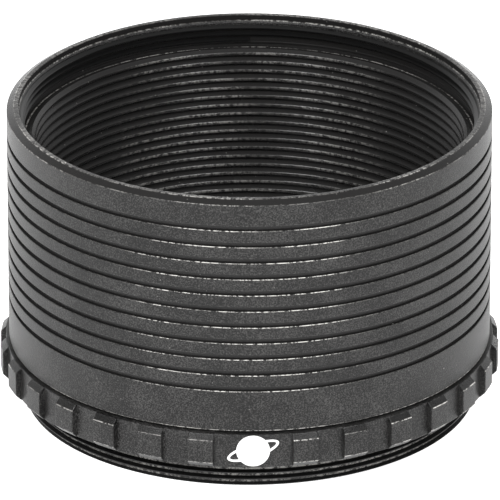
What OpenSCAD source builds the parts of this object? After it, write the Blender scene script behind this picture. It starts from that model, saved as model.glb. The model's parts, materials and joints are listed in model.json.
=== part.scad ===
// Extension tube with a lock ring, for joining telescope and camera fittings.
// The optical axis is Z. The origin is the centre of the lower rim, on which
// the tube stands. The printed mark on the lock ring faces -Y.

/* [Tube] */
// Height from the lower rim to the top land
tube_h = 46.6; // [38:0.1:70]
// How far the gripping wall stands outside the threads
grip_wall = 2.1; // [1.7:0.05:3]
// How far the crests of the glare ribs stand inside the threads
rib_wall = 2.2; // [1.8:0.05:4]
// Height of the shoulder that the gripping wall ends at
shoulder_z = 9.85; // [9:0.05:12]

/* [Threads] */
// Nominal diameter of the threads at both ends
thread_d = 68; // [40:0.1:90]
// Pitch of both threads
thread_pitch = 1; // [0.75:0.05:1.25]
// Length of the inside thread at the top
top_thread_l = 2.7; // [2:0.1:3.2]

/* [Top rim] */
// How far the plain register stands outside the threads
register_step = 0.3; // [0.2:0.05:0.4]
// Depth of the register below the top land
register_depth = 0.9; // [0.8:0.1:1.8]
// Height of the chamfer around the outside of the top land
rim_chamfer = 0.65; // [0.3:0.05:0.9]
// Width of that chamfer, seen from above
rim_chamfer_w = 1.1; // [0.5:0.05:1.2]

/* [Grip grooves] */
// Distance from one groove to the next
groove_pitch = 2.565; // [2:0.005:2.6]
// Width of a groove
groove_w = 0.7; // [0.4:0.05:1]
// Depth of a groove
groove_depth = 0.5; // [0.3:0.05:0.7]
// Distance from the top land down to the middle of the first groove
groove_top = 4.33; // [3:0.01:5]
// Least height left plain between the shoulder and the lowest groove
plain_h = 6; // [1:0.1:8]

/* [Glare ribs] */
// Distance from one glare rib to the next
rib_pitch = 1.417; // [1.2:0.001:1.7]
// Height of a rib above the bottom of its valley
rib_depth = 0.6; // [0.3:0.05:0.7]
// Width of the flat on the crest of a rib
rib_crest = 0.3; // [0.15:0.05:0.5]

/* [Lock ring] */
// Height of the lock ring
ring_h = 5.25; // [4.5:0.05:5.8]
// How far the floor of the notches stands outside the gripping wall
notch_proud = 0.45; // [0.2:0.05:1]
// Height of a tooth above the floor of the notches
tooth_h = 0.9; // [0.5:0.05:1.8]
// Number of tooth places round the ring, one of which is left plain
tooth_count = 30; // [24:1:36]
// Part of each place that the tooth takes up
tooth_share = 0.48; // [0.4:0.01:0.6]
// Angle that the ring stands turned by, anticlockwise from above
ring_turn = 0.85; // [-6:0.05:6]

/* [Slip washer] */
// Thickness of the washer between the lock ring and the shoulder
washer_t = 0.2; // [0.1:0.01:0.25]
// How far the washer stands back from the gripping wall
washer_inset = 0.3; // [0.1:0.05:1]

/* [Printed mark] */
// Width of the mark round the ring
mark_w = 7.6; // [6:0.1:9]
// Height left plain above and below the mark
mark_margin = 0.15; // [0.1:0.05:0.8]
// Width of the printed line
mark_line = 0.42; // [0.3:0.02:0.6]

/* [Hidden] */
$fn = 180;

cut = 1;

// Both threads are plain walls here, at the crest of each thread. An outside
// thread is cut this share of its pitch deep, and an inside one a little less.
// The flat left on a crest is a share of the pitch too.
male_share = 0.6;
female_share = 0.54;
crest_share = 0.125;
root_clearance = 0.1;
male_r = thread_d / 2;
female_r = male_r - female_share * thread_pitch;
root_r = male_r - male_share * thread_pitch - root_clearance;
run_clearance = 0.05;
washer_clearance = 0.12;
face_clearance = 0.03;

// The outside of the tube
wall_r = male_r + grip_wall;
edge_break = 0.2;
relief_w = 0.7;
lead_in = 0.6;
groove_r = wall_r - groove_depth;
groove_span = tube_h - groove_top - groove_w / 2 - shoulder_z - plain_h;
groove_count = floor(groove_span / groove_pitch) + 1;

// The inside of the tube
register_r = male_r + register_step;
register_end_z = tube_h - register_depth;
thread_start_z = register_end_z - (register_r - female_r);
thread_end_z = thread_start_z - top_thread_l;
undercut_r = male_r + root_clearance;
undercut_l = 0.5;
seat_z = thread_end_z - undercut_l;
rib_r = male_r - rib_wall;
valley_r = rib_r + rib_depth;
valley_flat = 0.16;
rib_flank = (rib_pitch - rib_crest - valley_flat) / 2;
lip_h = 2;
rib_top_z = seat_z - rib_depth / 2 - rib_crest / 2;
rib_count = floor((rib_top_z - lip_h) / rib_pitch);
lip_chamfer = 0.4;

// The lock ring, with the washer between it and the shoulder
washer_z = shoulder_z - washer_t - 2 * face_clearance;
ring_top = washer_z - face_clearance;
washer_r = wall_r - washer_inset;
ring_z = ring_top - ring_h;
floor_r = wall_r + notch_proud;
tooth_r = floor_r + tooth_h;
edge_flat = 0.06;
tooth_step = tooth_h - edge_flat;
tooth_place = 360 / tooth_count;
tooth_angle = tooth_share * tooth_place;
bore_chamfer = 0.35;

// One root of the outside thread is cut, just below the ring and as wide as
// its mouth. Below it the thread is free for the mating part.
root_mouth = (1 - crest_share) * thread_pitch;
free_end_z = ring_z - root_mouth;

// The mark lies on the plain place between two teeth
mark_sink = 0.04;
mark_rise = 0.05;
mark_z = ring_z + ring_h / 2;
mark_h = ring_h - 2 * mark_margin;
orbit_tilt = 20;
orbit_ratio = 0.3;
orbit_r = mark_w / 2 / norm([cos(orbit_tilt), orbit_ratio * sin(orbit_tilt)]);

front = 270;

// Points of one grip groove, from its lower edge to its upper edge
function groove(z) = [
    [wall_r, z - groove_w / 2],
    [groove_r, z - groove_w / 2],
    [groove_r, z + groove_w / 2],
    [wall_r, z + groove_w / 2],
];

// Points of one glare rib, from its upper flank to its lower flank
function rib(z) = [
    [valley_r, z + rib_crest / 2 + rib_flank],
    [rib_r, z + rib_crest / 2],
    [rib_r, z - rib_crest / 2],
    [valley_r, z - rib_crest / 2 - rib_flank],
];

// Points of an ellipse with the given half axes
function ellipse(a, b) = [for (t = [0:6:354]) [a * cos(t), b * sin(t)]];

// Half section of the tube: up the outside, over the rim and down the inside
function tube_section() = concat(
    [
        [rib_r + lip_chamfer, 0],
        [male_r - lead_in, 0],
        [male_r, lead_in],
        [male_r, free_end_z],
        [root_r, free_end_z],
        [root_r, ring_z],
        [male_r, ring_z],
        [male_r, shoulder_z - relief_w],
        [root_r, shoulder_z - relief_w],
        [root_r, shoulder_z],
        [wall_r - edge_break, shoulder_z],
        [wall_r, shoulder_z + edge_break],
    ],
    [
        for (i = [groove_count - 1:-1:0])
            each groove(tube_h - groove_top - i * groove_pitch)
    ],
    [
        [wall_r, tube_h - rim_chamfer],
        [wall_r - rim_chamfer_w, tube_h],
        [register_r, tube_h],
        [register_r, register_end_z],
        [female_r, thread_start_z],
        [female_r, thread_end_z],
        [undercut_r, thread_end_z],
        [undercut_r, seat_z],
        [valley_r, seat_z],
    ],
    [
        for (i = [0:rib_count - 1])
            each rib(rib_top_z - i * rib_pitch)
    ],
    [
        [rib_r, lip_h - rib_depth],
        [rib_r, lip_chamfer],
    ]
);

// Half section of the lock ring before its notches are cut
function ring_section() = [
    [male_r + run_clearance, bore_chamfer],
    [male_r + run_clearance + bore_chamfer, 0],
    [floor_r + edge_flat, 0],
    [tooth_r, tooth_step],
    [tooth_r, ring_h - tooth_step],
    [floor_r + edge_flat, ring_h],
    [male_r + run_clearance + bore_chamfer, ring_h],
    [male_r + run_clearance, ring_h - bore_chamfer],
];

// A part ring from a start angle, used to cut a notch
module sector(r_in, r_out, h, start, angle)
    rotate([0, 0, start])
        rotate_extrude(angle = angle)
            translate([r_in, 0])
                square([r_out - r_in, h]);

// Turned aluminium tube: grip grooves outside, glare ribs inside,
// an inside thread at the top and an outside thread at the bottom
module tube()
    color("#343436")
        rotate_extrude()
            polygon(tube_section());

// Thin loose washer that rests on the lock ring
module slip_washer()
    color("#101011")
        translate([0, 0, washer_z])
            difference() {
                cylinder(r = washer_r, h = washer_t);
                translate([0, 0, -cut])
                    cylinder(r = male_r + washer_clearance, h = washer_t + 2 * cut);
            }

// Notched ring that runs on the lower thread
module lock_ring()
    color("#303032")
        translate([0, 0, ring_z])
            rotate([0, 0, front + ring_turn])
                difference() {
                    rotate_extrude()
                        polygon(ring_section());
                    for (i = [1:tooth_count - 2])
                        translate([0, 0, -cut])
                            sector(
                                floor_r, tooth_r + cut, ring_h + 2 * cut,
                                i * tooth_place + tooth_angle / 2, tooth_place - tooth_angle
                            );
                    translate([0, 0, -cut])
                        sector(
                            floor_r, tooth_r + cut, ring_h + 2 * cut,
                            tooth_angle / 2 - tooth_place, 2 * tooth_place - tooth_angle
                        );
                }

// Outline of the mark: a plain disc with an orbit line round it
module mark_outline()
    union() {
        circle(d = mark_h);
        rotate([0, 0, orbit_tilt])
            difference() {
                polygon(ellipse(orbit_r, orbit_r * orbit_ratio));
                polygon(ellipse(orbit_r - mark_line, orbit_r * orbit_ratio - mark_line));
            }
    }

// White print on the plain place of the lock ring
module front_mark()
    color("#f2f2f0")
        translate([0, 0, mark_z])
            rotate([0, 0, ring_turn])
                intersection() {
                    difference() {
                        cylinder(r = floor_r + mark_rise, h = mark_h + 2 * cut, center = true);
                        cylinder(r = floor_r - mark_sink, h = mark_h + 3 * cut, center = true);
                    }
                    rotate([90, 0, 0])
                        linear_extrude(height = tooth_r + cut)
                            mark_outline();
                }

tube();
slip_washer();
lock_ring();
front_mark();
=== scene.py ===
"""Looks of a black anodised extension tube with a lock ring, on a pale floor in soft studio light.

The part's own frame is used throughout, in metres: the optical axis is Z, the tube stands on Z = 0
and the print on the lock ring faces -Y.
"""

import json
import math

import bmesh
import bpy
from mathutils import Matrix, Vector


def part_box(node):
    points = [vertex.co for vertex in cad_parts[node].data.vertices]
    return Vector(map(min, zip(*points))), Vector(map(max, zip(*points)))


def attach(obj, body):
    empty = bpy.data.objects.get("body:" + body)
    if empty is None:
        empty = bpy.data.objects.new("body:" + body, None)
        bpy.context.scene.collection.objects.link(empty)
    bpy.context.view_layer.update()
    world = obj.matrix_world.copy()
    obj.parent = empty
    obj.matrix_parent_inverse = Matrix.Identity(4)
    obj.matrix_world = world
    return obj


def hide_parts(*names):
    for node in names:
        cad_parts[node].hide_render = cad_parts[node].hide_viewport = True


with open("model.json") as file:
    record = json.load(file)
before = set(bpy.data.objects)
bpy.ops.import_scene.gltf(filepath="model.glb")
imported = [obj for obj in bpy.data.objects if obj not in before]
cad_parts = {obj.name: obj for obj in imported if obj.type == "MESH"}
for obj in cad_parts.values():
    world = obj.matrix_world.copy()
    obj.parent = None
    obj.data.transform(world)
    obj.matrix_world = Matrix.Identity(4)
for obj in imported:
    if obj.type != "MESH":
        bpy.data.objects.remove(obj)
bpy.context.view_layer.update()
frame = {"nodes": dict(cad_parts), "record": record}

bl_info = {
    "name": "Extension tube with lock ring",
    "version": (1, 0, 0),
    "blender": (4, 5, 0),
    "location": "View3D > Sidebar > Extension tube",
    "description": "Builds the tube, its threads, the lock ring and a plain studio",
    "category": "Add Mesh",
}

# Meshes are shaped in millimetres, where the mesh operators' own tolerances are small, then scaled
MM = 0.001
ROUND_STEPS = 240
TOOTH_STEPS = 6
SHARP_ANGLE = math.radians(8)
FRONT = math.radians(-90)
BACK = math.radians(90)

# How far a worn line or a painted highlight reaches from its edge, and how softly the masks end
REACH = 0.00012
WIDE_REACH = 0.00014
FADE = 0.0001
FINE_FADE = 0.00006

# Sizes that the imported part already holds
MOUNTS = {mount["name"]: mount for mount in frame["record"]["mounts"]}
TUBE_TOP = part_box("tube")[1].z
WALL_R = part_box("tube")[1].x
MALE_R = MOUNTS["bottom_thread"]["dims"]["r_mm"] * MM
FEMALE_R = MOUNTS["top_thread"]["dims"]["r_mm"] * MM
REGISTER_R = MOUNTS["top_register"]["dims"]["r_mm"] * MM
REGISTER_END = TUBE_TOP - MOUNTS["top_register"]["dims"]["length_mm"] * MM
THREAD_START = REGISTER_END - (REGISTER_R - FEMALE_R)
THREAD_END = THREAD_START - MOUNTS["top_thread"]["dims"]["length_mm"] * MM
RING_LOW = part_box("lock_ring")[0].z
RING_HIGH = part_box("lock_ring")[1].z
TOOTH_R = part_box("lock_ring")[1].y
WASHER_LOW, WASHER_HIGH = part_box("slip_washer")


def length(name, description, default, low=0.0, high=1.0):
    """A property that holds a length in metres."""
    return bpy.props.FloatProperty(
        name=name, description=description, default=default, min=low, max=high, unit="LENGTH", precision=5,
    )


def colour(name, description, default):
    """A property that holds a colour."""
    return bpy.props.FloatVectorProperty(
        name=name, description=description, default=default, size=3, min=0.0, max=1.0, subtype="COLOR",
    )


def share(name, description, default, high=1.0):
    """A property that holds a plain number from 0 up."""
    return bpy.props.FloatProperty(
        name=name, description=description, default=default, min=0.0, max=high,
    )


class TubeSizes(bpy.types.PropertyGroup):
    """Sizes of the turned tube."""

    shoulder_z: length("Shoulder", "Height of the shoulder under the gripping wall", 0.00985)
    groove_pitch: length("Groove pitch", "Distance from one grip groove to the next", 0.002565)
    groove_w: length("Groove width", "Width of a grip groove", 0.0007)
    groove_depth: length("Groove depth", "Depth of a grip groove", 0.0005)
    groove_top: length("First groove", "From the top land to the middle of the first groove", 0.00433)
    plain_h: length("Plain height", "Least plain height between shoulder and lowest groove", 0.006)
    rim_chamfer: length("Rim chamfer", "Height of the chamfer outside the top land", 0.00065)
    rim_chamfer_w: length("Rim chamfer width", "Width of that chamfer, seen from above", 0.0011)
    rib_wall: length("Rib wall", "How far the rib crests stand inside the threads", 0.0022)
    rib_pitch: length("Rib pitch", "Distance from one glare rib to the next", 0.001417)
    rib_depth: length("Rib depth", "Height of a glare rib", 0.0006)
    rib_crest: length("Rib crest", "Width of the flat on a glare rib", 0.0003)
    rib_round: length("Rib round", "Radius of a glare rib's two crest edges", 0.00012)
    edge_round: length("Edge round", "Radius that turned edges are broken by", 0.0001)
    edge_break: length("Shoulder edge", "Chamfer around the outside of the shoulder", 0.00012)
    lead_in: length("Lead-in", "Chamfer on the lower thread where it meets the standing rim", 0.0003)
    relief_w: length("Relief width", "Width of the relief above the lower thread", 0.0007)
    undercut_l: length("Undercut length", "Length of the undercut below the upper thread", 0.0005)
    root_clearance: length("Root clearance", "How far relief and undercut pass the thread roots", 0.0001)
    lip_h: length("Lip height", "Height that the glare ribs stay above", 0.002)
    lip_chamfer: length("Lip chamfer", "Chamfer at the lower end of the bore", 0.0004)
    valley_flat: length("Valley flat", "Width of the flat between two glare ribs", 0.00016)
    land_h: length("Thread end height", "Height of the small land that ends the upper thread", 0.00025)
    land_step: length("Thread end step", "How far that land stands inside the thread roots", 0.00015)
    land_round: length("Thread end round", "Radius of that land's edges", 0.00004)


class ThreadSizes(bpy.types.PropertyGroup):
    """Sizes of both threads."""

    pitch: length("Pitch", "Pitch of both threads", 0.001)
    depth: length("Depth", "Depth of a thread", 0.0006)
    crest: length("Crest", "Width of the flat on a thread's crest", 0.000125)
    lower_crest_z: length("Lower crest", "Height of a lower crest where it faces the front", 0.0011)
    upper_crest_z: length("Upper crest", "Height of an upper crest where it faces the back", 0.0437)
    sink: length("Sink", "How far a ridge is sunk into the wall it stands on", 0.00005)
    lower_first_z: length(
        "Lower start", "Height where the lower ridge's crest starts, under the rim", -0.0003375, low=-0.01
    )
    lower_floor: length("Lower floor", "Height that the ridge's part under the rim is pressed to", 0.00002)
    end_room: length("End room", "Room below the upper ridge, with half as much above it", 0.0001)
    upper_turns: share("Upper turns", "Turns of the upper thread", 2.5, high=10.0)


class RingSizes(bpy.types.PropertyGroup):
    """Sizes of the lock ring."""

    tooth_count: bpy.props.IntProperty(
        name="Tooth places", description="Tooth places round the ring, one of them plain",
        default=30, min=8,
    )
    tooth_share: share("Tooth share", "Part of each place that the tooth takes up", 0.48)
    tooth_h: length("Tooth height", "Height of a tooth above the floor of the notches", 0.0009)
    turn: bpy.props.FloatProperty(
        name="Turn", description="Angle that the ring stands turned by", default=math.radians(0.85),
        subtype="ANGLE",
    )
    bore_clearance: length("Bore clearance", "Room between the ring's bore and the thread", 0.00005)
    bore_chamfer: length("Bore chamfer", "Chamfer at both ends of the bore", 0.00035)
    edge_flat: length("Edge flat", "Flat left between a tooth's chamfer and the notch floor", 0.00006)
    edge_round: length("Edge round", "Radius that the ring's edges are broken by", 0.0001)
    tooth_sink: length("Tooth sink", "How far a tooth is sunk into the ring", 0.0003)
    tooth_taper: length("Tooth taper", "How far the sunk foot of a tooth draws in", 0.0001)


class WasherSizes(bpy.types.PropertyGroup):
    """Sizes of the slip washer."""

    clearance: length("Clearance", "Room between the washer and the thread", 0.00012)
    edge_round: length("Edge round", "Radius of the washer's edges", 0.00004)


class Finishes(bpy.types.PropertyGroup):
    """Colours of the finishes."""

    tube_black: colour("Tube", "Plain anodised metal of the tube", (0.012, 0.0116, 0.0114))
    ring_black: colour("Lock ring", "Plain anodised metal of the lock ring", (0.008, 0.0078, 0.0077))
    blast_black: colour("Blasting hollows", "Hollows of the blasted metal", (0.004, 0.0039, 0.0039))
    blast_grey: colour("Blasting", "High spots of the blasted metal", (0.046, 0.045, 0.044))
    # Pale colour of worn edges, also used for the tube's painted highlights on groove lips, thread crests
    # and glare ribs
    worn_edge_and_highlight: colour("Worn edge", "Anodising rubbed thin on an edge", (0.66, 0.64, 0.61))
    dust: colour("Dust", "Fine pale dust", (0.3, 0.29, 0.28))
    washer_black: colour("Washer", "Slip washer", (0.003, 0.003, 0.003))
    print_white: colour("Print", "White print", (0.74, 0.74, 0.73))
    pinhole_grey: colour("Pinholes", "Pinholes in the white print", (0.25, 0.25, 0.25))


class WearAndHighlightAmounts(bpy.types.PropertyGroup):
    """How strongly each edge is worn, how strong the painted highlights are, and how much of the dust
    shows.
    """

    # Groove lips in front get a full painted highlight; this share is the faint worn line on the lips
    # elsewhere
    lips_elsewhere: share("Lips elsewhere", "Other groove lips, as a share of those in front", 0.08)
    rim_outer: share("Outer rim", "Lower edge of the rim's outer chamfer", 0.35)
    rim_upper: share("Upper rim", "Upper edge of the rim's outer chamfer", 0.4)
    rim_land: share("Rim land", "Flat top of the rim", 0.2)
    register: share("Register", "Lower end of the register, where the cone starts", 0.4)
    foot: share("Foot", "Lower edge of the gripping wall", 0.7)
    # The two thread amounts set the painted highlights along the crests of the lower and upper threads
    lower_thread: share("Lower thread", "Crests of the lower thread", 0.4)
    upper_thread: share("Upper thread", "Crests of the upper thread", 0.35)
    # Strength of the painted highlight along the glare ribs' crests at the back
    ribs: share("Glare ribs", "Crests of the glare ribs at the back", 0.2)
    teeth: share("Teeth", "Edges of the lock ring's teeth", 0.75)
    chamfers: share("Chamfers", "How much less the teeth's chamfers are blasted", 0.75)
    flecks: share("Flecks", "Pale flecks in the anodising", 0.3)
    dust: share("Dust", "Pale dust", 0.7)


class StudioSizes(bpy.types.PropertyGroup):
    """Camera, lights and floor."""

    camera_distance: length("Camera distance", "From the aim point to the camera", 1.2446, high=10.0)
    camera_elevation: bpy.props.FloatProperty(
        name="Camera elevation", description="Angle of the camera above the floor",
        default=math.radians(24.245), subtype="ANGLE",
    )
    aim_height: length("Aim height", "Height of the point that the camera looks at", 0.02275)
    lens: bpy.props.FloatProperty(name="Lens", description="Focal length in mm", default=598.7, min=1.0)
    shift: bpy.props.FloatProperty(
        name="Shift", description="Sideways shift of the lens, as a share of the width", default=0.00114
    )
    floor_size: length("Floor", "Width of the floor", 12.0, high=100.0)
    floor_gap: length("Floor gap", "How far the floor lies below the standing rim", 0.00002)
    floor_shade: length("Floor shade", "How far inside the thread the floor stops glowing", 0.001)
    floor_fade: length("Floor fade", "Width over which that glow fades in", 0.0003)
    floor_glow: share("Floor glow", "Light that the lit sweep sends back", 0.7, high=5.0)
    backdrop: share("Backdrop", "Brightness of the surroundings near the floor", 1.3, high=10.0)
    light_angle: bpy.props.FloatProperty(
        name="Light angle", description="Angle of the two side lights from the front",
        default=math.radians(34), subtype="ANGLE",
    )
    left_power: share("Left power", "Power of the left light in watts", 9.0, high=1000.0)
    right_power: share("Right power", "Power of the right light in watts", 7.0, high=1000.0)
    light_size: length("Light size", "Width and height of each side light", 0.3, high=10.0)
    light_distance: length("Light distance", "Level distance of the side lights", 0.85, high=10.0)
    light_height: length("Light height", "Height of each side light above the floor", 0.85, high=10.0)


GROUPS = {
    "tube_sizes": TubeSizes,
    "thread_sizes": ThreadSizes,
    "ring_sizes": RingSizes,
    "washer_sizes": WasherSizes,
    "finishes": Finishes,
    "wear_amounts": WearAndHighlightAmounts,
    "studio_sizes": StudioSizes,
}


# Shader nodes


class Value:
    """A number that varies over a surface. Arithmetic on it adds Math nodes."""

    def __init__(self, finish, socket):
        self.finish = finish
        self.socket = socket

    def math(self, operation, *others):
        """The result of one Math node on this value and the others."""
        inputs = [self, *others]
        node = self.finish.node("ShaderNodeMath", {"operation": operation}, dict(enumerate(inputs)))
        return Value(self.finish, node.outputs[0])

    def reflected(self, operation, other):
        """As math, with the other value first."""
        node = self.finish.node("ShaderNodeMath", {"operation": operation}, {0: other, 1: self})
        return Value(self.finish, node.outputs[0])

    def __add__(self, other):
        return self.math("ADD", other)

    def __radd__(self, other):
        return self.math("ADD", other)

    def __sub__(self, other):
        return self.math("SUBTRACT", other)

    def __rsub__(self, other):
        return self.reflected("SUBTRACT", other)

    def __mul__(self, other):
        return self.math("MULTIPLY", other)

    def __rmul__(self, other):
        return self.math("MULTIPLY", other)

    def __truediv__(self, other):
        return self.math("DIVIDE", other)

    def __abs__(self):
        return self.math("ABSOLUTE")

    def rounded(self):
        """The nearest whole number."""
        return self.math("ROUND")

    def root(self):
        """The square root."""
        return self.math("SQRT")

    def above(self, edge, width):
        """0 up to edge, rising to 1 at edge + width."""
        settings = {"interpolation_type": "SMOOTHSTEP", "clamp": True}
        node = self.finish.node(
            "ShaderNodeMapRange", settings, {"Value": self, "From Min": edge, "From Max": edge + width}
        )
        return Value(self.finish, node.outputs["Result"])

    def below(self, edge, width):
        """1 up to edge - width, falling to 0 at edge."""
        return 1.0 - self.above(edge - width, width)

    def near(self, place, reach, width):
        """1 close to place, falling to 0 at reach to either side of it."""
        return abs(self - place).below(reach, width)


class Finish:
    """A material's node tree, with short ways to add nodes to it."""

    def __init__(self, name):
        self.material = bpy.data.materials.new(name)
        self.material.use_nodes = True
        self.tree = self.material.node_tree
        self.tree.nodes.clear()
        self.place = self.node("ShaderNodeTexCoord").outputs["Object"]

    def node(self, kind, settings=None, inputs=None):
        """Adds a node, sets its settings, then gives its sockets their values or links."""
        node = self.tree.nodes.new(kind)
        for name, setting in (settings or {}).items():
            setattr(node, name, setting)
        for name, given in (inputs or {}).items():
            source = given.socket if isinstance(given, Value) else given
            if isinstance(source, bpy.types.NodeSocket):
                self.tree.links.new(source, node.inputs[name])
            else:
                node.inputs[name].default_value = source
        return node

    def value(self, kind, settings, inputs, output):
        """One output of a new node, as a Value."""
        return Value(self, self.node(kind, settings, inputs).outputs[output])

    def axes(self):
        """The place on the object as three Values."""
        split = self.node("ShaderNodeSeparateXYZ", None, {"Vector": self.place})
        return [Value(self, split.outputs[axis]) for axis in ("X", "Y", "Z")]

    def noise(self, size, detail, roughness=0.5):
        """Soft noise whose features are about size across."""
        inputs = {"Vector": self.place, "Scale": 1.0 / size, "Detail": detail, "Roughness": roughness}
        return self.value("ShaderNodeTexNoise", None, inputs, "Fac")

    def specks(self, spacing, size, amount):
        """Round specks of the given size, one or none in each cell of the given spacing."""
        cells = self.node(
            "ShaderNodeTexVoronoi", {"feature": "F1"}, {"Vector": self.place, "Scale": 1.0 / spacing}
        )
        lot = self.node("ShaderNodeSeparateColor", None, {"Color": cells.outputs["Color"]})
        near = Value(self, cells.outputs["Distance"]).below(size / spacing, 0.5 * size / spacing)
        return near * Value(self, lot.outputs["Red"]).below(amount, 0.01)

    def mix(self, factor, first, second):
        """A colour between two others."""
        node = self.node("ShaderNodeMix", {"data_type": "RGBA"}, {"Factor": factor})
        for index, given in ((6, first), (7, second)):
            if isinstance(given, bpy.types.NodeSocket):
                self.tree.links.new(given, node.inputs[index])
            else:
                node.inputs[index].default_value = (*given, 1.0)
        return node.outputs[2]

    def bump(self, height, distance):
        """A normal that follows a height."""
        inputs = {"Height": height, "Distance": distance, "Strength": 1.0}
        return self.node("ShaderNodeBump", None, inputs).outputs["Normal"]

    def surface(self, base, roughness, normal, specular=0.5):
        """Ends the tree in a Principled shader."""
        inputs = {
            "Base Color": base, "Roughness": roughness, "Normal": normal, "Specular IOR Level": specular,
        }
        shader = self.node("ShaderNodeBsdfPrincipled", None, inputs)
        self.node("ShaderNodeOutputMaterial", None, {"Surface": shader.outputs[0]})
        return self.material


def anodised(name, base, areas):
    """Black anodised aluminium. areas gives where it is blasted, and where its edges are worn or carry
    painted highlights.
    """
    looks = bpy.context.scene.finishes
    amounts = bpy.context.scene.wear_amounts
    finish = Finish(name)
    blasting, rubbed_and_highlit = areas(finish)

    # The blasting's fine grain, and slow changes of tone over it
    grain = finish.noise(0.0002, detail=2.0, roughness=0.6)
    cloud = finish.noise(0.007, detail=3.0)
    # Worn edges and painted highlights come in broken lines, stronger in some patches than in others
    broken_lines = finish.noise(0.0006, detail=4.0, roughness=0.75).above(0.42, 0.16)
    patches = finish.noise(0.011, detail=1.0).above(0.36, 0.2)
    wear_and_highlights = rubbed_and_highlit * broken_lines * (0.25 + patches * 0.75)
    flecks = finish.specks(0.0009, 0.00012, 0.1) * amounts.flecks
    dust = finish.specks(0.0026, 0.00015, 0.1)
    blasted = ((grain - 0.5) * 3.8 + (cloud - 0.5) * 1.0 + 0.3).above(0.0, 1.0) * blasting

    shade = finish.mix(blasting, base, looks.blast_black)
    shade = finish.mix(blasted, shade, looks.blast_grey)
    shade = finish.mix(flecks, shade, looks.dust)
    # Worn edges and painted highlights, in that pale colour
    shade = finish.mix(wear_and_highlights, shade, looks.worn_edge_and_highlight)
    shade = finish.mix(dust * amounts.dust, shade, looks.dust)
    rough = 0.26 + (0.12 + (grain - 0.5) * 0.4) * blasting + (cloud - 0.5) * 0.08
    height = grain * (0.45 + blasting * 0.55) + dust * 0.4
    return finish.surface(shade, rough, finish.bump(height, 0.00005), specular=0.26)


def tube_areas(finish):
    """Where the tube is blasted, where it is worn and where highlights are painted on it.

    It is blasted on the gripping wall and on the cone above the upper thread. It is worn on its rim and
    foot. Painted highlights, in the same pale colour as the worn edges, run along both threads' crests,
    along the groove lips in front, where the lips elsewhere are only faintly worn, and along the glare
    ribs' crests only at the back. The upper crests' painted highlight has no limit in height, so it also
    takes in the lower thread's roots, the relief above them and the seat under the upper thread, which
    reach the same radius.
    """
    sizes = bpy.context.scene.tube_sizes
    amounts = bpy.context.scene.wear_amounts
    x, y, z = finish.axes()
    radius = (x * x + y * y).root()
    outside = radius.above(WALL_R - REACH, FINE_FADE)
    inside = 1.0 - outside
    # in_front and at_back choose where the painted highlights on the groove lips and glare ribs fall
    in_front = (0.0 - y / radius).above(0.84, 0.12)
    at_back = (y / radius).above(0.72, 0.2)

    first = TUBE_TOP - sizes.groove_top
    turns = (z - first) / sizes.groove_pitch
    from_groove = (turns - turns.rounded()) * sizes.groove_pitch
    grooved = z.above(sizes.shoulder_z + sizes.plain_h, FADE) * z.below(first + sizes.groove_w, FADE)
    # Groove lips: faintly worn all round, with a painted highlight on them in front
    lip = from_groove.near(-sizes.groove_w / 2, WIDE_REACH, FADE) * grooved * outside
    lip_share = amounts.lips_elsewhere + in_front * (1.0 - amounts.lips_elsewhere)

    rim_z = TUBE_TOP - sizes.rim_chamfer
    land_r = WALL_R - sizes.rim_chamfer_w
    rim_outer = z.near(rim_z, REACH, FADE) * outside
    rim_upper = z.above(rim_z, FADE) * radius.near(land_r, 0.0001, 0.00008)
    rim_land = z.above(TUBE_TOP - REACH, FADE)
    register = z.near(REGISTER_END, WIDE_REACH, FADE) * radius.below(REGISTER_R + FADE, FADE)
    nicks = finish.specks(0.0017, 0.00014, 0.25) * z.above(rim_z - 0.0002, FADE)

    foot = z.near(sizes.shoulder_z + sizes.edge_break, REACH, 0.00008) * outside
    # Painted highlights along the crests of both threads
    lower_crest = radius.above(MALE_R - 0.00006, 0.00004) * z.below(sizes.shoulder_z, FADE) * inside
    upper_crest = radius.below(FEMALE_R + 0.00008, FINE_FADE) * radius.above(FEMALE_R - 0.0002, 0.00005)
    # Painted highlight along the glare ribs' crests, only at the back
    rib_crest = radius.below(MALE_R - sizes.rib_wall + 0.0001, FINE_FADE) * at_back

    # All worn lines and painted highlights, each at its strength
    rubbed_and_highlit = (
        lip * lip_share + rim_outer * amounts.rim_outer + rim_upper * amounts.rim_upper
        + rim_land * amounts.rim_land + register * amounts.register + foot * amounts.foot
        + lower_crest * amounts.lower_thread + upper_crest * amounts.upper_thread
        + rib_crest * amounts.ribs + nicks
    )
    wall = outside * z.above(sizes.shoulder_z, FADE) * z.below(rim_z, FADE)
    cone = z.above(THREAD_START, FADE) * z.below(REGISTER_END, FADE) * inside
    return wall + cone, rubbed_and_highlit


def ring_areas(finish):
    """Where the ring is blasted, which is less so on its teeth's chamfers, and where its teeth's edges are
    worn.
    """
    sizes = bpy.context.scene.ring_sizes
    amounts = bpy.context.scene.wear_amounts
    x, y, z = finish.axes()
    radius = (x * x + y * y).root()
    step = sizes.tooth_h - sizes.edge_flat
    middle = (RING_LOW + RING_HIGH) / 2
    reach = (RING_HIGH - RING_LOW) / 2 - step
    from_edge = abs(z - middle) - reach
    face = radius.above(TOOTH_R - WIDE_REACH, FINE_FADE)
    chamfer = from_edge.above(0.0, FADE) * radius.above(TOOTH_R - sizes.tooth_h + 0.0001, FADE)
    edge = abs(from_edge).below(REACH, FADE) * face
    return 1.0 - chamfer * amounts.chamfers, edge * amounts.teeth


def matte_black(name, base):
    """Thin matte plastic sheet with a faint fibre."""
    finish = Finish(name)
    grain = finish.noise(0.0003, detail=3.0)
    shade = finish.mix(grain, base, tuple(1.8 * c for c in base))
    return finish.surface(shade, 0.66 + (grain - 0.5) * 0.2, finish.bump(grain, 0.00001), specular=0.15)


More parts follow.
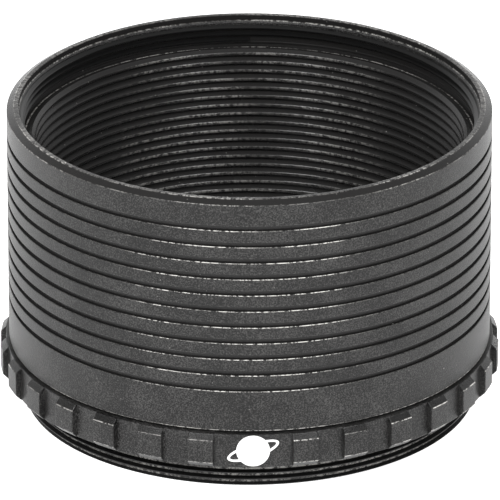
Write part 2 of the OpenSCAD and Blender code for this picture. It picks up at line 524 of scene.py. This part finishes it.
def white_print(name, base, pinhole):
    """Screen print: slightly uneven ink, thin in small pinholes."""
    finish = Finish(name)
    ink = finish.noise(0.0009, detail=3.0)
    grain = finish.noise(0.00012, detail=2.0)
    pinholes = finish.specks(0.0007, 0.00006, 0.12)
    shade = finish.mix((ink - 0.4) * 0.8, base, tuple(0.86 * c for c in base))
    shade = finish.mix(pinholes * 0.55, shade, pinhole)
    return finish.surface(shade, 0.55 + (grain - 0.5) * 0.2, finish.bump(grain, 0.000006))


# Mesh helpers


def section_wire(mesh, outline):
    """Adds a closed section in the XZ plane and rounds its corners.

    Each point of the outline is (radius, height, rounding).
    """
    corners = [mesh.verts.new((radius / MM, 0, height / MM)) for radius, height, _ in outline]
    mesh.faces.new(corners)
    for size in sorted({rounding for _, _, rounding in outline if rounding > 0}):
        same = [corner for corner, point in zip(corners, outline) if point[2] == size]
        bmesh.ops.bevel(
            mesh, geom=same, offset=size / MM, offset_type="OFFSET", affect="VERTICES",
            segments=2, profile=0.5, material=-1, clamp_overlap=True,
        )
    bmesh.ops.delete(mesh, geom=mesh.faces[:], context="FACES_ONLY")


def turn_section(mesh, steps, angle=2 * math.pi, rise=0.0):
    """Spins the section about Z. Rise is the climb over the whole angle; a full turn is closed."""
    full = math.isclose(angle, 2 * math.pi) and rise == 0.0
    bmesh.ops.spin(
        mesh, geom=mesh.verts[:] + mesh.edges[:], cent=(0, 0, 0), axis=(0, 0, 1),
        dvec=(0, 0, rise / MM / steps), angle=angle, steps=steps,
        use_merge=full, use_duplicate=False, use_normal_flip=False,
    )
    ends = [edge for edge in mesh.edges if edge.is_boundary]
    if ends:
        bmesh.ops.holes_fill(mesh, edges=ends, sides=0)
    bmesh.ops.recalc_face_normals(mesh, faces=mesh.faces[:])


def finish_piece(mesh, name, material, body, replaced=()):
    """Makes the mesh an object in metres, smooth but for its sharp edges, hides the parts it replaces and
    hangs it on its body's empty.
    """
    bmesh.ops.scale(mesh, vec=(MM, MM, MM), verts=mesh.verts[:])
    for face in mesh.faces:
        face.smooth = True
    for edge in mesh.edges:
        edge.smooth = edge.calc_face_angle(math.pi) < SHARP_ANGLE
    open_edges = sum(1 for edge in mesh.edges if not edge.is_manifold)
    if open_edges:
        raise RuntimeError(f"{name} has {open_edges} open edges")
    data = bpy.data.meshes.new(name)
    mesh.to_mesh(data)
    mesh.free()
    data.materials.append(material)
    piece = bpy.data.objects.new(name, data)
    bpy.context.scene.collection.objects.link(piece)
    if replaced:
        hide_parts(*replaced)
    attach(piece, body)
    return piece


def groove_points(height, sizes):
    """Points of one grip groove, from its lower lip to its upper lip."""
    half = sizes.groove_w / 2
    floor_r = WALL_R - sizes.groove_depth
    return [
        (WALL_R, height - half, sizes.edge_round),
        (floor_r, height - half, 0),
        (floor_r, height + half, 0),
        (WALL_R, height + half, sizes.edge_round),
    ]


def rib_points(height, crest_r, sizes):
    """Points of one glare rib, from its upper flank to its lower flank."""
    flank = (sizes.rib_pitch - sizes.rib_crest - sizes.valley_flat) / 2
    half = sizes.rib_crest / 2
    valley_r = crest_r + sizes.rib_depth
    return [
        (valley_r, height + half + flank, 0),
        (crest_r, height + half, sizes.rib_round),
        (crest_r, height - half, sizes.rib_round),
        (valley_r, height - half - flank, 0),
    ]


def tube_outline(sizes, threads):
    """Half section of the tube with both threads cut to their roots."""
    root_r = MALE_R - threads.depth
    relief_r = root_r - sizes.root_clearance
    undercut_r = MALE_R + sizes.root_clearance
    land_r = MALE_R - sizes.land_step
    land_top = THREAD_END + sizes.land_h
    seat_z = THREAD_END - sizes.undercut_l
    crest_r = MALE_R - sizes.rib_wall
    first_rib = seat_z - sizes.rib_depth / 2 - sizes.rib_crest / 2
    rib_count = math.floor((first_rib - sizes.lip_h) / sizes.rib_pitch)
    span = TUBE_TOP - sizes.groove_top - sizes.groove_w / 2 - sizes.shoulder_z - sizes.plain_h
    groove_count = math.floor(span / sizes.groove_pitch) + 1
    rounding = sizes.edge_round
    points = [
        (crest_r + sizes.lip_chamfer, 0, rounding),
        (root_r, 0, rounding),
        (root_r, sizes.shoulder_z - sizes.relief_w, 0),
        (relief_r, sizes.shoulder_z - sizes.relief_w, 0),
        (relief_r, sizes.shoulder_z, 0),
        (WALL_R - sizes.edge_break, sizes.shoulder_z, sizes.edge_break / 2),
        (WALL_R, sizes.shoulder_z + sizes.edge_break, sizes.edge_break / 2),
    ]
    for index in reversed(range(groove_count)):
        points += groove_points(TUBE_TOP - sizes.groove_top - index * sizes.groove_pitch, sizes)
    points += [
        (WALL_R, TUBE_TOP - sizes.rim_chamfer, rounding),
        (WALL_R - sizes.rim_chamfer_w, TUBE_TOP, rounding),
        (REGISTER_R, TUBE_TOP, rounding),
        (REGISTER_R, REGISTER_END, 0),
        (MALE_R, REGISTER_END - (REGISTER_R - MALE_R), 0),
        (MALE_R, land_top, 0),
        (land_r, land_top, sizes.land_round),
        (land_r, THREAD_END, sizes.land_round),
        (undercut_r, THREAD_END, 0),
        (undercut_r, seat_z, 0),
        (crest_r + sizes.rib_depth, seat_z, rounding / 2),
    ]
    for index in range(rib_count):
        points += rib_points(first_rib - index * sizes.rib_pitch, crest_r, sizes)
    return points + [
        (crest_r, sizes.lip_h - sizes.rib_depth, rounding),
        (crest_r, sizes.lip_chamfer, rounding),
    ]


def thread_ridge(root_r, crest_r, start_z, turns, start_angle, threads):
    """A mesh with one helical ridge, right handed, its section a flat-topped V."""
    mesh = bmesh.new()
    half_root = (threads.pitch - 2 * threads.crest) / 2
    sink = math.copysign(threads.sink, crest_r - root_r)
    outline = [
        (root_r - sink, start_z - half_root, 0),
        (crest_r, start_z - threads.crest / 2, 0),
        (crest_r, start_z + threads.crest / 2, 0),
        (root_r - sink, start_z + half_root, 0),
    ]
    section_wire(mesh, outline)
    bmesh.ops.rotate(
        mesh, cent=(0, 0, 0), matrix=Matrix.Rotation(start_angle, 3, "Z"), verts=mesh.verts[:]
    )
    steps = round(turns * ROUND_STEPS)
    turn_section(mesh, steps, 2 * math.pi * turns, threads.pitch * turns)
    return mesh


def trim_to(mesh, limit):
    """Moves each vertex in or out to the radius that limit(radius, height) allows, in metres."""
    for vertex in mesh.verts:
        radius = vertex.co.xy.length * MM
        allowed = limit(radius, vertex.co.z * MM)
        vertex.co.xy *= allowed / radius


# Operators


class EXTENSIONTUBE_OT_tube(bpy.types.Operator):
    """Turns the tube, with its grip grooves, rim and glare ribs"""

    bl_idname = "extensiontube.tube"
    bl_label = "Tube"

    def execute(self, context):
        scene = context.scene
        mesh = bmesh.new()
        section_wire(mesh, tube_outline(scene.tube_sizes, scene.thread_sizes))
        turn_section(mesh, ROUND_STEPS)
        material = anodised("tube_anodised", scene.finishes.tube_black, tube_areas)
        finish_piece(mesh, "tube_wall", material, "barrel", ["tube"])
        return {"FINISHED"}


class EXTENSIONTUBE_OT_threads(bpy.types.Operator):
    """Adds the helical ridges of the thread inside the top and of the thread outside the bottom"""

    bl_idname = "extensiontube.threads"
    bl_label = "Threads"

    def execute(self, context):
        scene = context.scene
        threads = scene.thread_sizes
        sizes = scene.tube_sizes
        material = bpy.data.materials["tube_anodised"]
        root_r = MALE_R - threads.depth
        first = threads.lower_first_z
        start = FRONT + 2 * math.pi * (first - threads.lower_crest_z) / threads.pitch
        turns = math.floor((sizes.shoulder_z - sizes.relief_w - first) / threads.pitch - 0.5)
        mesh = thread_ridge(root_r, MALE_R, first, turns, start, threads)
        low = threads.lower_floor / MM
        for vertex in mesh.verts:
            vertex.co.z = max(vertex.co.z, low)
        foot_r = MALE_R - sizes.lead_in
        trim_to(mesh, lambda radius, height: min(radius, foot_r + height))
        finish_piece(mesh, "lower_thread", material, "barrel")

        first = threads.upper_crest_z - threads.pitch
        mesh = thread_ridge(MALE_R, FEMALE_R, first, threads.upper_turns, BACK, threads)
        low = (THREAD_END + threads.end_room) / MM
        high = (REGISTER_END - threads.end_room / 2) / MM
        for vertex in mesh.verts:
            vertex.co.z = min(max(vertex.co.z, low), high)
        trim_to(mesh, lambda radius, height: max(radius, FEMALE_R + max(0, height - THREAD_START)))
        finish_piece(mesh, "upper_thread", material, "barrel")
        return {"FINISHED"}


class EXTENSIONTUBE_OT_lock_ring(bpy.types.Operator):
    """Turns the lock ring and sets its teeth round it, leaving the place under the print plain"""

    bl_idname = "extensiontube.lock_ring"
    bl_label = "Lock ring"

    def execute(self, context):
        scene = context.scene
        sizes = scene.ring_sizes
        floor_r = TOOTH_R - sizes.tooth_h
        bore_r = MALE_R + sizes.bore_clearance
        rounding = sizes.edge_round
        mesh = bmesh.new()
        outline = [
            (bore_r, RING_LOW + sizes.bore_chamfer, 0),
            (bore_r + sizes.bore_chamfer, RING_LOW, rounding / 2),
            (floor_r, RING_LOW, rounding),
            (floor_r, RING_HIGH, rounding),
            (bore_r + sizes.bore_chamfer, RING_HIGH, rounding / 2),
            (bore_r, RING_HIGH - sizes.bore_chamfer, 0),
        ]
        section_wire(mesh, outline)
        turn_section(mesh, ROUND_STEPS)
        teeth = self.tooth(sizes, floor_r)
        place = 2 * math.pi / sizes.tooth_count
        first = Matrix.Rotation(FRONT + sizes.turn + place, 3, "Z")
        bmesh.ops.rotate(teeth, cent=(0, 0, 0), matrix=first, verts=teeth.verts[:])
        others = sizes.tooth_count - 2
        bmesh.ops.spin(
            teeth, geom=teeth.verts[:] + teeth.edges[:] + teeth.faces[:], cent=(0, 0, 0),
            axis=(0, 0, 1), dvec=(0, 0, 0), angle=others * place, steps=others,
            use_merge=False, use_duplicate=True, use_normal_flip=False,
        )
        tooth_mesh = bpy.data.meshes.new("teeth")
        teeth.to_mesh(tooth_mesh)
        teeth.free()
        mesh.from_mesh(tooth_mesh)
        bpy.data.meshes.remove(tooth_mesh)
        material = anodised("ring_anodised", scene.finishes.ring_black, ring_areas)
        finish_piece(mesh, "lock_ring_body", material, "ring", ["lock_ring"])
        return {"FINISHED"}

    def tooth(self, sizes, floor_r):
        """One tooth, centred on +X and sunk a little into the ring, with its edges broken."""
        mesh = bmesh.new()
        sunk_r = floor_r - sizes.tooth_sink
        taper = sizes.tooth_taper
        step = sizes.tooth_h - sizes.edge_flat
        edge_r = floor_r + sizes.edge_flat
        outline = [
            (sunk_r, RING_LOW + taper, 0),
            (floor_r - taper, RING_LOW, 0),
            (edge_r, RING_LOW, 0),
            (TOOTH_R, RING_LOW + step, 0),
            (TOOTH_R, RING_HIGH - step, 0),
            (edge_r, RING_HIGH, 0),
            (floor_r - taper, RING_HIGH, 0),
            (sunk_r, RING_HIGH - taper, 0),
        ]
        section_wire(mesh, outline)
        angle = sizes.tooth_share * 2 * math.pi / sizes.tooth_count
        bmesh.ops.rotate(
            mesh, cent=(0, 0, 0), matrix=Matrix.Rotation(-angle / 2, 3, "Z"), verts=mesh.verts[:]
        )
        turn_section(mesh, TOOTH_STEPS, angle)
        least_angle = math.radians(30)
        least_r = (floor_r + sizes.edge_flat / 2) / MM
        outer = [
            edge
            for edge in mesh.edges
            if edge.calc_face_angle(0) > least_angle
            and min(vertex.co.xy.length for vertex in edge.verts) > least_r
        ]
        bmesh.ops.bevel(
            mesh, geom=outer, offset=sizes.edge_round / MM, offset_type="OFFSET", affect="EDGES",
            segments=2, profile=0.5, material=-1, clamp_overlap=True,
        )
        bmesh.ops.recalc_face_normals(mesh, faces=mesh.faces[:])
        return mesh


class EXTENSIONTUBE_OT_slip_washer(bpy.types.Operator):
    """Turns the thin washer between the lock ring and the tube's shoulder"""

    bl_idname = "extensiontube.slip_washer"
    bl_label = "Slip washer"

    def execute(self, context):
        sizes = context.scene.washer_sizes
        rounding = sizes.edge_round
        bore_r = MALE_R + sizes.clearance
        mesh = bmesh.new()
        outline = [
            (bore_r, WASHER_LOW.z, rounding),
            (WASHER_HIGH.x, WASHER_LOW.z, rounding),
            (WASHER_HIGH.x, WASHER_HIGH.z, rounding),
            (bore_r, WASHER_HIGH.z, rounding),
        ]
        section_wire(mesh, outline)
        turn_section(mesh, ROUND_STEPS)
        material = matte_black("washer_black", context.scene.finishes.washer_black)
        finish_piece(mesh, "slip_washer_ring", material, "washer", ["slip_washer"])
        return {"FINISHED"}


class EXTENSIONTUBE_OT_front_mark(bpy.types.Operator):
    """Gives the printed mark on the lock ring its ink"""

    bl_idname = "extensiontube.front_mark"
    bl_label = "Front mark"

    def execute(self, context):
        finishes = context.scene.finishes
        mark = frame["nodes"]["front_mark"]
        mark.data.materials.clear()
        mark.data.materials.append(white_print("white_print", finishes.print_white, finishes.pinhole_grey))
        return {"FINISHED"}


class EXTENSIONTUBE_OT_studio(bpy.types.Operator):
    """Lays the floor and sets the lights, the surroundings and the camera"""

    bl_idname = "extensiontube.studio"
    bl_label = "Studio"

    def execute(self, context):
        sizes = context.scene.studio_sizes
        self.floor(context, sizes)
        self.surroundings(context, sizes)
        self.lights(context, sizes)
        self.camera(context, sizes)
        context.scene.view_settings.view_transform = "Standard"
        return {"FINISHED"}

    def floor(self, context, sizes):
        """A white sweep that is lit from above all round the tube, and shaded inside it."""
        mesh = bmesh.new()
        bmesh.ops.create_grid(mesh, x_segments=1, y_segments=1, size=sizes.floor_size / 2)
        bmesh.ops.translate(mesh, verts=mesh.verts[:], vec=(0, 0, -sizes.floor_gap))
        data = bpy.data.meshes.new("floor")
        mesh.to_mesh(data)
        mesh.free()
        floor = bpy.data.objects.new("floor", data)
        context.scene.collection.objects.link(floor)
        finish = Finish("pale_floor")
        x, y, _ = finish.axes()
        outside = (x * x + y * y).root().above(MALE_R - sizes.floor_shade, sizes.floor_fade)
        shader = finish.node(
            "ShaderNodeBsdfPrincipled", None,
            {
                "Base Color": (0.85, 0.85, 0.85, 1), "Roughness": 0.9, "Specular IOR Level": 0.1,
                "Emission Color": finish.mix(outside, (0, 0, 0), (1, 1, 1)),
                "Emission Strength": sizes.floor_glow,
            },
        )
        finish.node("ShaderNodeOutputMaterial", None, {"Surface": shader.outputs[0]})
        data.materials.append(finish.material)

    def surroundings(self, context, sizes):
        """A bright backdrop all round, up to the height of a low wall, and a dim ceiling."""
        world = bpy.data.worlds.new("studio")
        world.use_nodes = True
        context.scene.world = world
        tree = world.node_tree
        tree.nodes.clear()
        place = tree.nodes.new("ShaderNodeTexCoord")
        split = tree.nodes.new("ShaderNodeSeparateXYZ")
        ramp = tree.nodes.new("ShaderNodeValToRGB")
        background = tree.nodes.new("ShaderNodeBackground")
        output = tree.nodes.new("ShaderNodeOutputWorld")
        tree.links.new(place.outputs["Generated"], split.inputs[0])
        tree.links.new(split.outputs["Z"], ramp.inputs[0])
        tree.links.new(ramp.outputs[0], background.inputs["Color"])
        background.inputs["Strength"].default_value = sizes.backdrop
        tree.links.new(background.outputs[0], output.inputs["Surface"])
        # Brightness at the horizon and straight up, then at heights between, on a scale from 0 to 1
        ends = (1.0, 0.45)
        stops = ((0.45, 0.9), (0.6, 0.42), (0.75, 0.36))
        elements = ramp.color_ramp.elements
        for level, element in zip(ends, (elements[0], elements[-1])):
            element.color = (level, level, level, 1)
        for position, level in stops:
            elements.new(position).color = (level, level, level, 1)

    def lights(self, context, sizes):
        """A soft box on each side of the front."""
        boxes = (("left_softbox", -1, sizes.left_power), ("right_softbox", 1, sizes.right_power))
        for name, side, power in boxes:
            data = bpy.data.lights.new(name, "AREA")
            data.shape = "SQUARE"
            data.size = sizes.light_size
            data.energy = power
            light = bpy.data.objects.new(name, data)
            context.scene.collection.objects.link(light)
            angle = side * sizes.light_angle
            reach = sizes.light_distance
            light.location = (reach * math.sin(angle), -reach * math.cos(angle), sizes.light_height)
            aim = Vector((0, 0, sizes.aim_height)) - light.location
            light.rotation_euler = aim.to_track_quat("-Z", "Y").to_euler()

    def camera(self, context, sizes):
        """A long lens in front and above."""
        data = bpy.data.cameras.new("camera")
        data.sensor_width = 36.0
        data.lens = sizes.lens
        data.shift_x = sizes.shift
        data.clip_start = 0.1
        data.clip_end = 50.0
        camera = bpy.data.objects.new("camera", data)
        context.scene.collection.objects.link(camera)
        back = Vector((0, -math.cos(sizes.camera_elevation), math.sin(sizes.camera_elevation)))
        camera.location = Vector((0, 0, sizes.aim_height)) + back * sizes.camera_distance
        camera.rotation_euler = (-back).to_track_quat("-Z", "Y").to_euler()
        context.scene.camera = camera


OPERATORS = (
    EXTENSIONTUBE_OT_tube,
    EXTENSIONTUBE_OT_threads,
    EXTENSIONTUBE_OT_lock_ring,
    EXTENSIONTUBE_OT_slip_washer,
    EXTENSIONTUBE_OT_front_mark,
    EXTENSIONTUBE_OT_studio,
)


class EXTENSIONTUBE_PT_panel(bpy.types.Panel):
    """Lists the sizes and the steps"""

    bl_idname = "EXTENSIONTUBE_PT_panel"
    bl_label = "Extension tube"
    bl_space_type = "VIEW_3D"
    bl_region_type = "UI"
    bl_category = "Extension tube"

    def draw(self, context):
        for name in GROUPS:
            group = getattr(context.scene, name)
            box = self.layout.box()
            for field in group.__annotations__:
                box.prop(group, field)
        for operator in OPERATORS:
            self.layout.operator(operator.bl_idname)


def register():
    """Registers the classes and hangs each group of sizes on the scene."""
    for cls in (*GROUPS.values(), *OPERATORS, EXTENSIONTUBE_PT_panel):
        bpy.utils.register_class(cls)
    for name, group in GROUPS.items():
        setattr(bpy.types.Scene, name, bpy.props.PointerProperty(type=group))


def unregister():
    """Undoes register."""
    for name in GROUPS:
        delattr(bpy.types.Scene, name)
    for cls in (EXTENSIONTUBE_PT_panel, *reversed(OPERATORS), *reversed(GROUPS.values())):
        bpy.utils.unregister_class(cls)


def main():
    """Builds every piece and the studio."""
    register()
    bpy.ops.extensiontube.tube()
    bpy.ops.extensiontube.threads()
    bpy.ops.extensiontube.lock_ring()
    bpy.ops.extensiontube.slip_washer()
    bpy.ops.extensiontube.front_mark()
    bpy.ops.extensiontube.studio()


if __name__ == "__main__":
    main()
